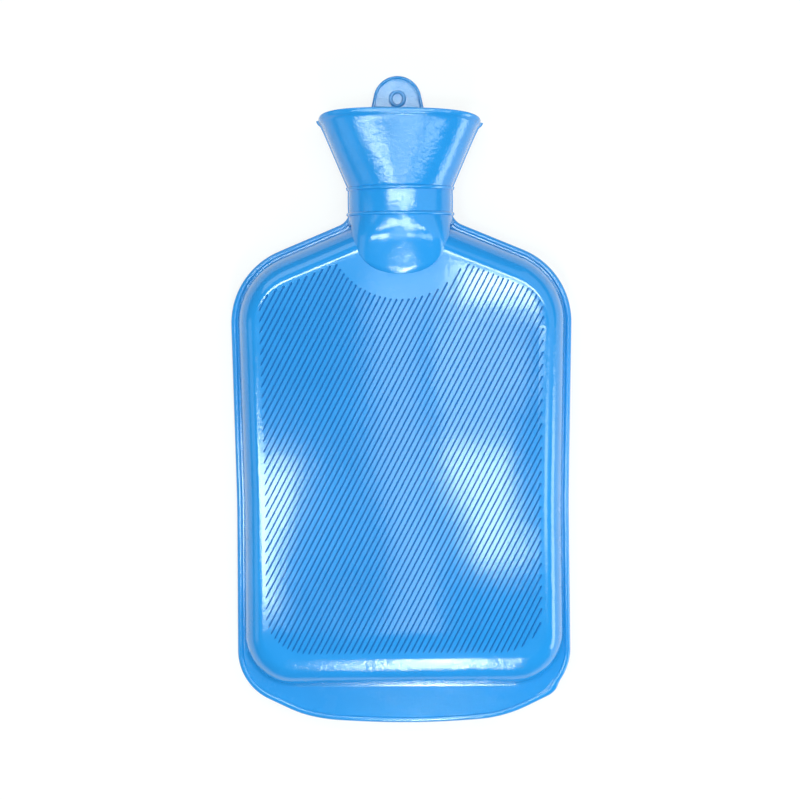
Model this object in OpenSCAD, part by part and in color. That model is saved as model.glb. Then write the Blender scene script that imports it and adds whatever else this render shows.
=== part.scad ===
// Hot water bottle of moulded rubber, lying on its back with the mouth towards +Y.
// The table is z = 0, and the origin is under the middle of the whole outline.

/* [Bag] */
// Width of the bag across its shoulders, seam flange left out
bag_w = 195.2; // [150:0.2:240]
// Width of the bag half way up, where its sides pull in
waist_w = 188.6; // [140:0.2:230]
// Width of the bag at its bottom corners
bottom_w = 189.2; // [140:0.2:230]
// Length of the bag from its bottom edge to the lower neck ring
bag_l = 278.5; // [220:0.5:340]
// Height of the waist above the bag's bottom edge
waist_y = 108; // [70:1:150]
// How far the soft bend at the waist reaches up and down
waist_bend = 45; // [10:1:60]
// Thickness of the bag over the ribs of both faces
bag_t = 42; // [30:0.5:46]
// Thickness of the rubber wall
wall = 2.4; // [1.6:0.1:3.5]
// Slope of the shoulders
shoulder_angle = 22.7; // [16:0.1:30]
// Radius of the shoulder corners
shoulder_r = 42; // [32:1:55]
// Radius of the bottom corners
bottom_r = 30; // [24:1:45]
// How far in from the seam the rounded edge reaches along the sides
side_run = 12.5; // [8:0.5:18]
// The same along the shoulders
shoulder_run = 16; // [10:0.5:20]
// The same along the bottom
bottom_run = 19; // [12:0.5:22]

/* [Seam flange] */
// Width of the flange along the sides and shoulders
flange_w = 4.4; // [3:0.1:8]
// Depth of the wide flange below the bag
skirt_h = 23.4; // [12:0.2:35]
// Thickness of the flange
flange_t = 2.6; // [1.6:0.1:3.4]
// Diameter of the bead along the flange's edge
bead_d = 4; // [3.6:0.1:5]
// Slope of the skirt next to its corners
skirt_angle = 25.6; // [15:0.1:32]
// Slope of the skirt next to its lowest point
skirt_sag = 4.2; // [2:0.1:8]
// Radius of the skirt's corners
skirt_r = 32; // [24:1:42]
// Radius of the flange in the hollow between shoulder and neck
hollow_r = 10; // [6:0.5:16]

/* [Ribs] */
// Distance from one rib to the next
rib_pitch = 3.1; // [2.6:0.05:6]
// Width of a rib
rib_w = 1.3; // [0.8:0.05:1.8]
// Height of a rib above the face
rib_h = 0.65; // [0.3:0.05:1.2]
// Angle of the ribs to the width of the bag
rib_angle = 62.1; // [45:0.1:75]
// Smooth margin between the rounded edge and the ribs
rib_margin = 1.4; // [0.5:0.1:6]
// Smooth border round the pad below the neck
pad_border = 14.5; // [6:0.5:20]

/* [Neck] */
// Width of the neck
neck_w = 60.8; // [56:0.2:70]
// Depth of the neck, front to back
neck_d = 46; // [40:0.5:50]
// Distance between the two neck rings
neck_l = 15; // [10:0.5:25]
// Width of a neck ring
ring_w = 2.2; // [1.4:0.1:3]
// How far a ring stands out of the neck
ring_h = 0.9; // [0.4:0.05:1.5]
// Gap between the shoulder seam and the lower ring
ring_gap = 3.3; // [2:0.1:8]
// Radius of the round pad that joins the neck to each face
pad_r = 29; // [24:0.2:30]
// Distance from the lower ring to the pad's lowest point
pad_l = 36.6; // [32:0.2:42]
// How far in from the pad's outline its soft edge reaches
pad_run = 18; // [8:0.5:22]
// How far the pad's soft edge drops below its top
pad_drop = 8; // [5:0.5:12]

/* [Funnel] */
// Width of the funnel at its mouth, bead left out
funnel_w = 94.6; // [80:0.2:110]
// Depth of the funnel at its mouth, bead left out
funnel_d = 56; // [52:0.5:66]
// Height of the mouth's side tips above the upper ring
funnel_h = 39.3; // [32:0.1:50]
// Thickness of the funnel's wall
funnel_wall = 3; // [2:0.1:4]
// How much further the mouth's front and back stand than its side tips
mouth_bow = 5.7; // [0:0.1:8]
// How square the mouth's oval is; 2 is an ellipse
mouth_full = 2.8; // [2:0.1:3.5]
// How far the bead stands out round the mouth
lip_h = 0.9; // [0.4:0.05:1.5]
// Height of that bead
lip_w = 2.8; // [1.8:0.1:4]
// How far the mould's parting line stands out at the neck and funnel
parting_h = 0.7; // [0.3:0.05:1.2]

/* [Hanging tab] */
// Length of the tab above the mouth's side tips
tab_l = 30.4; // [26:0.1:45]
// Diameter of the tab's round top
tab_w = 29.2; // [22:0.2:36]
// How much the tab's sides spread towards the funnel, in degrees from straight
tab_flare = 12.4; // [4:0.1:20]
// Thickness of the tab's face
tab_t = 1.8; // [1.2:0.1:2.4]
// Thickness of the tab's edge
tab_edge_t = 3; // [2.6:0.1:3.4]
// Width of the tab's edge
tab_edge_w = 2.3; // [1.5:0.1:4]
// Distance from the tab's top to the middle of its raised ring
eye_drop = 13.8; // [11:0.1:16]
// Outer diameter of that ring
eye_d = 10.4; // [8:0.1:14]
// Width of the ring's wall
eye_w = 1.9; // [1:0.1:2.5]

/* [Stopper] */
// Diameter of the stopper's screw
screw_d = 22.6; // [18:0.1:24]
// Length of the screw below its collar
screw_l = 20; // [12:0.5:22]
// Radial clearance of the screw in the socket
screw_gap = 0.06; // [0.02:0.01:0.1]
// Outer diameter of the brass socket
socket_d = 28.6; // [27:0.1:32]
// Length of the brass socket
socket_l = 22; // [20:0.5:22]
// Height of the socket's top, which is the funnel's floor, above the upper ring
socket_rise = 10; // [7:0.5:13]
// Thickness of the sealing washer
washer_t = 2; // [1:0.1:3]
// How far the washer's edge stays inside the collar's
washer_inset = 0.4; // [0.2:0.1:1]
// Clearance between the washer and the collar that presses on it
washer_gap = 0.05; // [0.02:0.01:0.1]
// Diameter of the stopper's collar
collar_d = 27.6; // [26.4:0.1:30]
// Thickness of the collar
collar_t = 3; // [2:0.1:5]
// Width of the stopper's handle
handle_w = 26; // [18:0.2:27]
// Length of the handle above the collar
handle_l = 22; // [14:0.5:24]
// Thickness of the handle
handle_t = 5; // [3.5:0.1:7]
// Radius of the handle's two top corners
handle_r = 7.8; // [4:0.2:8.8]

/* [Hidden] */
$fn = 64;
arc_step = 9;
edge_step = 15;
cavity_step = 22.5;
neck_sides = 44;
bead_sides = 6;
// Radius of a corner that is meant to be sharp, and the angle from which a corner counts as straight
sharp_r = 0.1;
straight = 89.97;
// Clearance of the water's passage round the screw
passage_gap = 0.3;
seam_z = bag_t / 2;
sh_tan = tan(shoulder_angle);

// Places along the length, with y = 0 at the bag's bottom edge
lower_ring_y = bag_l;
upper_ring_y = lower_ring_y + neck_l;
mouth_y = upper_ring_y + funnel_h;
tab_top_y = mouth_y + tab_l;
pad_end_y = lower_ring_y - pad_l;
pad_y = pad_end_y + pad_r;
seam_meets_neck_y = lower_ring_y - ring_gap;
apex_y = seam_meets_neck_y + neck_w / 2 * sh_tan - flange_w / cos(shoulder_angle);
floor_y = upper_ring_y + socket_rise;
skirt_y = -skirt_h;
skirt_low_r = 520;
skirt_bend_r = 80;
apex_r = 60;

// The soft neck leans up until the funnel's back and the pad's back both touch the table
lean = asin((funnel_d / 2 + lip_h - neck_d / 2) / (mouth_y - pad_end_y));
tab_tip_y = pad_end_y + (tab_top_y - pad_end_y) * cos(lean) + (funnel_d / 2) * sin(lean);
middle_y = (tab_tip_y + skirt_y) / 2;

function unit(v) = v / norm(v);
function left_of(v) = [-v.y, v.x];
function cross2(a, b) = a.x * b.y - a.y * b.x;
function edge_dir(pts, i) = unit(pts[(i + 1) % len(pts)] - pts[i % len(pts)]);
function before(pts, i) = (i + len(pts) - 1) % len(pts);
function flip(pts) = [for (i = [len(pts) - 1 : -1 : 0]) [-pts[i].x, pts[i].y]];
function back_to_front(list) = [for (i = [len(list) - 1 : -1 : 0]) list[i]];

// Corner i after the edges beside it have moved inwards by d1 and d2
function moved_corner(p, n1, n2, d1, d2) =
    p + [d1 * n2.y - d2 * n1.y, d2 * n1.x - d1 * n2.x] / cross2(n1, n2);

// An anticlockwise outline with each edge moved inwards by its own distance
function inset(pts, d) = [for (i = [0 : len(pts) - 1])
    moved_corner(pts[i], left_of(edge_dir(pts, before(pts, i))), left_of(edge_dir(pts, i)),
                 d[before(pts, i)], d[i])];

// The radii that keep those moved edges parallel round each corner
function inset_radii(pts, radii, d) = [for (i = [0 : len(pts) - 1])
    let (bend = cross2(edge_dir(pts, before(pts, i)), edge_dir(pts, i)) > 0 ? -1 : 1)
    radii[i] + bend * (d[before(pts, i)] + d[i]) / 2];

// Half the angle between the edges beside a corner
function half_angle(p, a, b) = acos(max(-1, min(1, unit(a - p) * unit(b - p)))) / 2;

// The radius of a round at corner i that starts and ends a given run away from it
function bend_r(pts, i, run) = run * tan(min(half_angle(pts[i], pts[before(pts, i)], pts[i + 1]), straight));

// Points of the round at corner p, which touches both edges
function corner_arc(p, a, b, r) =
    let (ua = unit(a - p), ub = unit(b - p), half = half_angle(p, a, b))
    half >= straight ? [p] :
    let (centre = p + unit(ua + ub) * r / sin(half), start = p + ua * r / tan(half))
    let (steps = max(4, round((180 - 2 * half) / arc_step)), from = start - centre)
    let (turn = cross2(ua, ub) > 0 ? 2 * half - 180 : 180 - 2 * half)
    [for (k = [0 : steps]) let (t = turn * k / steps)
        centre + [from.x * cos(t) - from.y * sin(t), from.x * sin(t) + from.y * cos(t)]];

function rounded(pts, radii) = [for (i = [0 : len(pts) - 1])
    each corner_arc(pts[i], pts[before(pts, i)], pts[(i + 1) % len(pts)], radii[i])];

// Where a line through p at angle a meets a line through q at angle b
function meet(p, a, q, b) =
    p + [cos(a), sin(a)] * cross2(q - p, [cos(b), sin(b)]) / sin(b - a);

// The bag's outline at the seam
bag_right = [
    [bottom_w / 2, 0],
    [waist_w / 2, waist_y],
    [bag_w / 2, apex_y - bag_w / 2 * sh_tan],
];
bag_pts = concat(bag_right, [[0, apex_y]], flip(bag_right));
side_r = bend_r(bag_pts, 1, waist_bend);
bag_radii = [bottom_r, side_r, shoulder_r, apex_r, shoulder_r, side_r, bottom_r];
bag_runs = [side_run, side_run, shoulder_run, shoulder_run, side_run, side_run, bottom_run];
bag_edges = [for (i = [0 : len(bag_pts) - 1]) 1];

// The flange's outline, which follows the bag and the neck
skirt_corner = [bottom_w / 2 + flange_w, 0];
skirt_low = [0, skirt_y - skirt_low_r * (1 / cos(skirt_sag) - 1)];
flange_shoulder = inset(bag_pts, -flange_w * bag_edges)[2];
flange_right = [
    meet(skirt_low, skirt_sag, skirt_corner, 180 + skirt_angle),
    skirt_corner,
    [waist_w / 2 + flange_w, waist_y],
    flange_shoulder,
    [neck_w / 2, seam_meets_neck_y],
    [neck_w / 2, upper_ring_y],
];
flange_pts = concat([skirt_low], flange_right, flip(flange_right));
flange_side_r = bend_r(flange_pts, 3, waist_bend);
flange_r_right = [skirt_bend_r, skirt_r, flange_side_r, shoulder_r + flange_w, hollow_r, bead_d + 1];
flange_radii = concat([skirt_low_r], flange_r_right, back_to_front(flange_r_right));
flange_edges = [for (i = [0 : len(flange_pts) - 1]) 1];

// A closed skin over rings of points; a looped one joins its last ring to its first
module skin(rings, looped = false) {
    n = len(rings[0]);
    m = len(rings);
    sides = [for (i = [0 : m - (looped ? 1 : 2)], j = [0 : n - 1])
        let (a = i * n, b = ((i + 1) % m) * n, k = (j + 1) % n)
        each [[a + j, b + j, b + k], [a + j, b + k, a + k]]];
    caps = looped ? [] : [[for (j = [0 : n - 1]) j], [for (j = [n - 1 : -1 : 0]) (m - 1) * n + j]];
    polyhedron(points = [for (ring = rings) each ring], faces = concat(caps, sides));
}

// The outline moved inwards, flat and at a height
function moved(pts, radii, d) = rounded(inset(pts, d), inset_radii(pts, radii, d));
function level(pts, radii, d, z) = [for (p = moved(pts, radii, d)) [p.x, p.y, z]];

// The pillow form of the bag, a quarter ellipse from the seam to each flat face
module pillow(shrink, step) {
    half = seam_z - rib_h - shrink;
    skin([for (t = [-90 : step : 90])
        level(bag_pts, bag_radii, shrink * bag_edges + (1 - cos(t)) * (bag_runs - shrink * bag_edges / 2),
              seam_z + half * sin(t))]);
}

module seam_flange() {
    bead_r = bead_d / 2;
    translate([0, 0, seam_z - flange_t / 2])
        linear_extrude(flange_t) polygon(moved(flange_pts, flange_radii, bead_r / 2 * flange_edges));
    skin([for (k = [0 : bead_sides - 1]) let (t = 360 * k / bead_sides)
        level(flange_pts, flange_radii, (bead_r - bead_r * cos(t)) * flange_edges, seam_z + bead_r * sin(t))],
        looped = true);
}

// The outline of the ribbed field on each face
module rib_field() {
    margins = bag_runs + rib_margin * bag_edges;
    difference() {
        polygon(rounded(inset(bag_pts, margins), [bottom_r * 0.8, side_r, shoulder_r * 0.4, apex_r,
                                                  shoulder_r * 0.4, side_r, bottom_r * 0.8]));
        translate([0, pad_y]) circle(pad_r + pad_border);
    }
}

module ribs() {
    reach = bag_l + bag_w;
    count = ceil(reach / 2 / rib_pitch);
    linear_extrude(2 * rib_h) intersection() {
        rib_field();
        translate([0, bag_l / 2]) rotate(rib_angle) for (k = [-count : count])
            translate([-reach / 2, k * rib_pitch - rib_w / 2]) square([reach, rib_w]);
    }
}

// Places its children in the leaning neck, with y still counted from the bag's bottom edge
module in_neck() {
    translate([0, pad_end_y, neck_d / 2]) rotate([lean, 0, 0]) translate([0, -pad_end_y, 0]) children();
}

// A ring of points round the neck; full is 2 for an ellipse, and more for squarer sides
function squared(v, full) = sign(v) * pow(abs(v), 2 / full);
function oval(y, a, c, full = 2, bow = 0) = [for (j = [0 : neck_sides - 1])
    let (t = 360 * j / neck_sides, up = squared(sin(t), full))
    [a * squared(cos(t), full), y + bow * abs(up), -c * up]];

// Half width and half depth of the neck and funnel's outside at a height, grown by d
function funnel_share(y) = max(0, y - upper_ring_y) / funnel_h;
function neck_oval(y, d) = oval(y,
    neck_w / 2 + (funnel_w - neck_w) / 2 * funnel_share(y) + d,
    neck_d / 2 + (funnel_d - neck_d) / 2 * funnel_share(y) + d,
    full = 2 + (mouth_full - 2) * funnel_share(y),
    bow = mouth_bow * pow(funnel_share(y), 2));

// Rows of height and growth over one raised ring
function ring_rows(y) = [for (row = [[-2, 0], [-1, ring_h], [1, ring_h], [2, 0]])
    [y + ring_w * row[0] / 4, row[1]]];

// The neck and funnel in one profile, up the outside, over the lip and down the inside
module neck_and_funnel() {
    foot_y = lower_ring_y - 2 * ring_w;
    rim_round = funnel_wall / 5;
    bead = [[mouth_y - lip_w - lip_h, 0], [mouth_y - lip_w, lip_h], [mouth_y - lip_h, lip_h], [mouth_y, 0]];
    outside = concat([[foot_y, 0]], ring_rows(lower_ring_y), ring_rows(upper_ring_y), bead);
    inside = [[mouth_y, rim_round - funnel_wall], [mouth_y - lip_w, -funnel_wall],
              [upper_ring_y, -funnel_wall], [foot_y, -funnel_wall]];
    skin([for (row = concat(outside, inside)) neck_oval(row[0], row[1])], looped = true);
    core = -funnel_wall / 2;
    skin([neck_oval(pad_y, core), neck_oval(upper_ring_y, core), neck_oval(floor_y, core)]);
}

// Thin ridge that the mould's parting line leaves along both sides of the neck and funnel
module parting_line() {
    lift = 1.8;
    root = funnel_wall * 0.3;
    right = [
        [neck_w / 2 + parting_h, seam_meets_neck_y],
        [neck_w / 2 + parting_h, upper_ring_y],
        [funnel_w / 2 + parting_h, mouth_y - lip_w],
        [funnel_w / 2 + lip_h + parting_h, mouth_y - lip_w / 2],
        [funnel_w / 2 - root, mouth_y - lip_w / 2],
        [neck_w / 2 - root, upper_ring_y],
        [neck_w / 2 - root, seam_meets_neck_y],
    ];
    for (side = [0, 1]) mirror([side, 0, 0])
        translate([0, 0, -lift / 2]) linear_extrude(lift) polygon(right);
}

// The neck's oval carried down over each face in a round pad with a soft edge
module neck_pads() {
    top_y = lower_ring_y + ring_w / 4;
    pts = [[pad_r, pad_end_y], [pad_r, top_y], [-pad_r, top_y], [-pad_r, pad_end_y]];
    radii = [pad_r - sharp_r, sharp_r, sharp_r, pad_r - sharp_r];
    half = neck_d / 2;
    half_w = (neck_w - ring_h) / 2;
    sides = [1, 0, 1, 1];
    rows = [for (t = [0 : 22.5 : 90]) [pad_run * (1 - cos(t)), half - pad_drop + pad_drop * sin(t)]];
    all_rows = concat([for (row = back_to_front(rows)) [row[0], -row[1]]], rows);
    intersection() {
        skin([for (row = all_rows) [for (p = rounded(inset(pts, row[0] * sides), [
            radii[0] - row[0], radii[1], radii[2], radii[3] - row[0]])) [p.x, p.y, row[1]]]]);
        skin([oval(pad_end_y - 1, half_w, half, 4), oval(top_y + 1, half_w, half, 2)]);
    }
}

// Tab for hanging the bottle up, with a raised ring where the hole would be punched
module hanging_tab() {
    base_y = mouth_y - lip_w;
    top_half = tab_w / 2 * tan((90 - tab_flare) / 2);
    root = top_half + (tab_top_y - base_y) * tan(tab_flare);
    pts = [[root, base_y], [top_half, tab_top_y], [-top_half, tab_top_y], [-root, base_y]];
    radii = [tab_edge_w, tab_w / 2 - sharp_r, tab_w / 2 - sharp_r, tab_edge_w];
    edge = [tab_edge_w, tab_edge_w, tab_edge_w, 0];
    translate([0, 0, -funnel_d / 2]) {
        translate([0, 0, (tab_edge_t - tab_t) / 2]) linear_extrude(tab_t) polygon(rounded(pts, radii));
        linear_extrude(tab_edge_t) difference() {
            polygon(rounded(pts, radii));
            difference() {
                polygon(moved(pts, radii, edge));
                translate([-root, base_y]) square([2 * root, lip_w + mouth_bow]);
            }
        }
        translate([0, tab_top_y - eye_drop, 0]) linear_extrude(tab_edge_t) difference() {
            circle(d = eye_d);
            circle(d = eye_d - 2 * eye_w);
        }
    }
}

// A cylinder along the neck between two heights
module along_neck(y1, y2, r) {
    translate([0, y1, 0]) rotate([-90, 0, 0]) cylinder(h = y2 - y1, r = r);
}

module bottle() color("DodgerBlue") translate([0, -middle_y, 0]) difference() {
    union() {
        pillow(0, edge_step);
        seam_flange();
        translate([0, 0, bag_t - 2 * rib_h]) ribs();
        translate([0, 0, 2 * rib_h]) mirror([0, 0, 1]) ribs();
        in_neck() {
            neck_and_funnel();
            parting_line();
            neck_pads();
            hanging_tab();
        }
    }
    pillow(wall, cavity_step);
    in_neck() {
        along_neck(floor_y - socket_l, floor_y + 1, socket_d / 2);
        along_neck(pad_y - pad_run, floor_y - socket_l + 1, screw_d / 2 + passage_gap);
    }
}

module neck_insert() color("Goldenrod") translate([0, -middle_y, 0]) in_neck() difference() {
    along_neck(floor_y - socket_l, floor_y, socket_d / 2);
    along_neck(floor_y - socket_l - 1, floor_y + 1, screw_d / 2 + screw_gap);
}

module sealing_washer() color("DimGray") translate([0, -middle_y, 0]) in_neck() difference() {
    along_neck(floor_y, floor_y + washer_t, collar_d / 2 - washer_inset);
    along_neck(floor_y - 1, floor_y + washer_t + 1, screw_d / 2 + screw_gap);
}

module handle_outline(root_y, top_y) {
    half = handle_w / 2;
    polygon(rounded([[half, root_y], [half, top_y], [-half, top_y], [-half, root_y]],
                    [sharp_r, handle_r, handle_r, sharp_r]));
}

module stopper() color("SteelBlue") translate([0, -middle_y, 0]) in_neck() {
    collar_y = floor_y + washer_t + washer_gap;
    handle_y = collar_y + collar_t;
    along_neck(collar_y - screw_l, collar_y + collar_t / 2, screw_d / 2);
    along_neck(collar_y, handle_y, collar_d / 2);
    translate([0, 0, -handle_t / 2]) linear_extrude(handle_t)
        handle_outline(collar_y + collar_t / 2, handle_y + handle_l);
}

bottle();
neck_insert();
sealing_washer();
stopper();
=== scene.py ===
"""Looks of a moulded rubber hot water bottle that lies on its back, seen from straight above."""
import math

import bmesh
import bpy
import numpy as np
from mathutils import Matrix, Vector, noise


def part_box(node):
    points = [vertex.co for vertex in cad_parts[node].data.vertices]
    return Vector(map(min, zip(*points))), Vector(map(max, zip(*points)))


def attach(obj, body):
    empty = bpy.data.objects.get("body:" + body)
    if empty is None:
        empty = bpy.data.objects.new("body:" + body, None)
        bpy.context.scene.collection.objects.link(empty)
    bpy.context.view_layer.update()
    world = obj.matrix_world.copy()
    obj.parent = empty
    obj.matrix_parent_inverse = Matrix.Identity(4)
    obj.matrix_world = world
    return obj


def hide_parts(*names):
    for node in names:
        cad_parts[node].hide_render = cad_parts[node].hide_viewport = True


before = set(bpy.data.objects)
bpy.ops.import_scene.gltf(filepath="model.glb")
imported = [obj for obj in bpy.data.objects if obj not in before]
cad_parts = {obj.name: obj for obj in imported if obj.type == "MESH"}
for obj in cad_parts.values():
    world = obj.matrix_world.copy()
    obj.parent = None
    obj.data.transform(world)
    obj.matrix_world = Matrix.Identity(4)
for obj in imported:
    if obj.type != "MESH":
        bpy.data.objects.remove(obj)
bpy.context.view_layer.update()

# Sizes in millimetres, with y = 0 at the bag's bottom edge and z = 0 on the table. A name ends in W for
# a width, L length, H height, T thickness, D diameter or depth, R radius, and RUN for how far a rounding
# of the bag or the pad reaches inwards. A full rounding stays a HAIR short of its edge's end.
MM = 0.001
HAIR = 0.05
SHARP_ANGLE = math.radians(40)
BAG_W, WAIST_W, BOTTOM_W = 195.2, 188.6, 189.2
BAG_L, WAIST_Y, BAG_T = 278.5, 108.0, 42.0
WALL = 2.4
SHOULDER_ANGLE = math.radians(22.7)
SHOULDER_R, BOTTOM_R, SIDE_R, APEX_R = 42.0, 30.0, 800.0, 60.0
SIDE_RUN, SHOULDER_RUN, BOTTOM_RUN = 12.5, 16.0, 19.0
MID_LINE_LOW_Y, MID_LINE_TOP_Y = 60.0, 200.0

FLANGE_W, SKIRT_H, FLANGE_T, BEAD_D = 4.4, 23.4, 2.6, 4.0
SKIRT_ANGLE, SKIRT_SAG = math.radians(25.6), math.radians(4.2)
SKIRT_R, SKIRT_BEND_R, SKIRT_LOW_R, NECK_FILLET_R = 32.0, 80.0, 520.0, 10.0
FOOT_RAMP, FOOT_RISE, FOOT_TUCK = 2.0, 0.3, 1.2

RIB_PITCH, RIB_W, RIB_H, RIB_ANGLE = 3.1, 0.95, 0.65, math.radians(62.1)
RIB_MARGIN, PAD_BORDER, SHORTEST_RIB = 1.4, 14.5, 3.0
FIELD_BOTTOM_R, FIELD_SHOULDER_R, FIELD_APEX_R = 41.0, 31.8, 77.0
RIB_FADE_L, RIB_TUCK = 1.6, 0.5
DOT_R, DOT_SOFTNESS, DOT_WIDER, DOT_HIGHER = 0.8, 0.5, 0.3, 0.12

NECK_W, NECK_D, NECK_L = 60.8, 46.0, 15.0
RING_W, RING_H, RING_GAP = 2.2, 0.9, 3.3
BAND_BOW, BAND_SINK = 0.1, 0.4
PAD_R, PAD_L, PAD_RUN, PAD_DROP = 29.0, 36.6, 18.0, 8.0
PAD_SIDE_GAP, PAD_FULLER = 0.3, 2.4
PAD_BLEND_H, PAD_BLEND_W = 0.35, 2.0
# The front pad rises a little from the neck, then bends into a slope towards the bag
PAD_RISE, PAD_LEVEL_L, PAD_BEND_L, PAD_SLOPE, PAD_FALL = 0.082, 7.0, 10.0, 0.31, 0.004
FRONT_PAD_RUN, FRONT_PAD_DROP = 5.0, 2.0

FUNNEL_W, FUNNEL_D, FUNNEL_H, FUNNEL_WALL = 94.6, 56.0, 39.3, 3.0
MOUTH_BOW, MOUTH_FULL, LIP_H, LIP_W = 5.7, 2.8, 0.9, 2.8
PARTING_H, PARTING_W, PARTING_FLARE = 0.7, 0.8, 1.2
SOCKET_DEPTH, SOCKET_RIM = 10.0, 2.0
TAB_L, TAB_W, TAB_FLARE = 30.4, 29.2, math.radians(12.4)
TAB_T, TAB_EDGE_T, TAB_EDGE_W = 1.8, 3.0, 2.3
EYE_DROP, EYE_R, EYE_HOLE_W, EYE_HOLE_L, EYE_H = 13.8, 5.2, 2.9, 3.2, 0.8

SCREW_D, SCREW_L, THREAD_PITCH, THREAD_H = 22.6, 20.0, 5.0, 1.5
SOCKET_D, SOCKET_L, SOCKET_PLAY = 28.6, 22.0, 0.12
WASHER_T, COLLAR_D, COLLAR_T = 2.0, 27.6, 3.0
HANDLE_W, HANDLE_L, HANDLE_T = 26.0, 22.0, 5.0
HANDLE_EDGE_R, HANDLE_HOLLOW = 0.95, 0.8

# The photo's own bends of the soft rubber: skirt, mouth, tab and the face's lower edge
SKIRT_SHIFT, MOUTH_SKEW, TAB_SHIFT = 3.6, -0.02, -1.2
LOW_DROP, LOW_REACH = 3.2, 36.0
WAVE_DEPTH, WAVE_W, WAVE_L, WAVE_SEED = 0.2, 30.0, 45.0, 3.1
# Shallow dents of the soft face: middle, reach across and along, turn in degrees, depth
DENTS = [
    ((-30, 60), (30, 50), 20, 0.6),
    ((50, 185), (26, 30), 0, 0.5),
]

SEAM_Z = BAG_T / 2
FACE_Z = BAG_T - RIB_H
LOWER_RING_Y = BAG_L
UPPER_RING_Y = LOWER_RING_Y + NECK_L
MOUTH_Y = UPPER_RING_Y + FUNNEL_H
TAB_TOP_Y = MOUTH_Y + TAB_L
PAD_END_Y = LOWER_RING_Y - PAD_L
PAD_Y = PAD_END_Y + PAD_R
NECK_Y, NECK_HALF = (LOWER_RING_Y + UPPER_RING_Y) / 2, NECK_L / 2 - RING_W / 2
FLOOR_Y = UPPER_RING_Y + SOCKET_DEPTH
SEAM_MEETS_NECK_Y = LOWER_RING_Y - RING_GAP
APEX_Y = (SEAM_MEETS_NECK_Y + NECK_W / 2 * math.tan(SHOULDER_ANGLE)
          - FLANGE_W / math.cos(SHOULDER_ANGLE))
LEAN = math.asin((FUNNEL_D / 2 + LIP_H - NECK_D / 2) / (MOUTH_Y - PAD_END_Y))
MIDDLE_Y = -SKIRT_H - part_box("bottle")[0][1] / MM


def unit(v):
    return v / np.linalg.norm(v)


def left_of(v):
    return np.array([-v[1], v[0]])


def cross2(a, b):
    return a[0] * b[1] - a[1] * b[0]


def mirrored(points):
    return [(-x, y) for x, y in reversed(points)]


def edge_dir(pts, i):
    return unit(pts[(i + 1) % len(pts)] - pts[i % len(pts)])


def inset(pts, d):
    """The corners of an anticlockwise outline with each edge moved inwards by its own distance."""
    out = []
    for i, p in enumerate(pts):
        n1, n2 = left_of(edge_dir(pts, i - 1)), left_of(edge_dir(pts, i))
        d1, d2 = d[i - 1], d[i]
        out.append(p + np.array([d1 * n2[1] - d2 * n1[1], d2 * n1[0] - d1 * n2[0]]) / cross2(n1, n2))
    return np.array(out)


def inset_radii(pts, radii, d):
    bends = [cross2(edge_dir(pts, i - 1), edge_dir(pts, i)) > 0 for i in range(len(pts))]
    return [r - (1 if convex else -1) * (d[i - 1] + d[i]) / 2
            for i, (r, convex) in enumerate(zip(radii, bends))]


def rounded(pts, radii, arc_n, edge_n):
    """A ring of points round an outline: arc_n steps on each corner and edge_n on each edge."""
    count = len(pts)
    arcs = []
    for i, p in enumerate(pts):
        a, b = unit(pts[i - 1] - p), unit(pts[(i + 1) % count] - p)
        half = math.acos(np.clip(a @ b, -1, 1)) / 2
        centre = p + unit(a + b) * radii[i] / math.sin(half)
        start = p + a * radii[i] / math.tan(half) - centre
        turn = (2 * half - math.pi) * (1 if cross2(a, b) > 0 else -1)
        t = np.linspace(0, turn, arc_n[i] + 1)
        arcs.append(centre + np.stack([start[0] * np.cos(t) - start[1] * np.sin(t),
                                       start[0] * np.sin(t) + start[1] * np.cos(t)], 1))
    out = []
    for i, arc in enumerate(arcs):
        after = arcs[(i + 1) % count][0]
        share = np.linspace(0, 1, edge_n[i] + 1)[1:-1, None]
        out += [arc, arc[-1] * (1 - share) + after * share]
    return np.vstack(out)


def meet(p, a, q, b):
    """Where a line through p at angle a meets a line through q at angle b."""
    u, v = np.array([math.cos(a), math.sin(a)]), np.array([math.cos(b), math.sin(b)])
    return np.array(p) + u * cross2(np.array(q) - p, v) / cross2(u, v)


class Outline:
    """Corners, radii and mesh steps of a rounded outline."""

    def __init__(self, pts, radii, arc_n, edge_n):
        self.pts = np.array(pts, float)
        self.radii, self.arc_n, self.edge_n = radii, arc_n, edge_n

    def ring(self, d):
        """The outline moved inwards by d, one distance or one for each edge."""
        d = np.broadcast_to(np.asarray(d, float), len(self.pts))
        return rounded(inset(self.pts, d), inset_radii(self.pts, self.radii, d), self.arc_n, self.edge_n)


def palindrome(items):
    return list(items) + list(reversed(items))


bag_right = [(BOTTOM_W / 2, 0.0), (WAIST_W / 2, WAIST_Y),
             (BAG_W / 2, APEX_Y - BAG_W / 2 * math.tan(SHOULDER_ANGLE))]
BAG = Outline(bag_right + [(0.0, APEX_Y)] + mirrored(bag_right),
              [BOTTOM_R, SIDE_R, SHOULDER_R, APEX_R, SHOULDER_R, SIDE_R, BOTTOM_R],
              [18, 4, 16, 10, 16, 4, 18], [28, 36, 16, 16, 36, 28, 40])
BAG_RUNS = np.array([SIDE_RUN, SIDE_RUN, SHOULDER_RUN, SHOULDER_RUN, SIDE_RUN, SIDE_RUN, BOTTOM_RUN])

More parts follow.
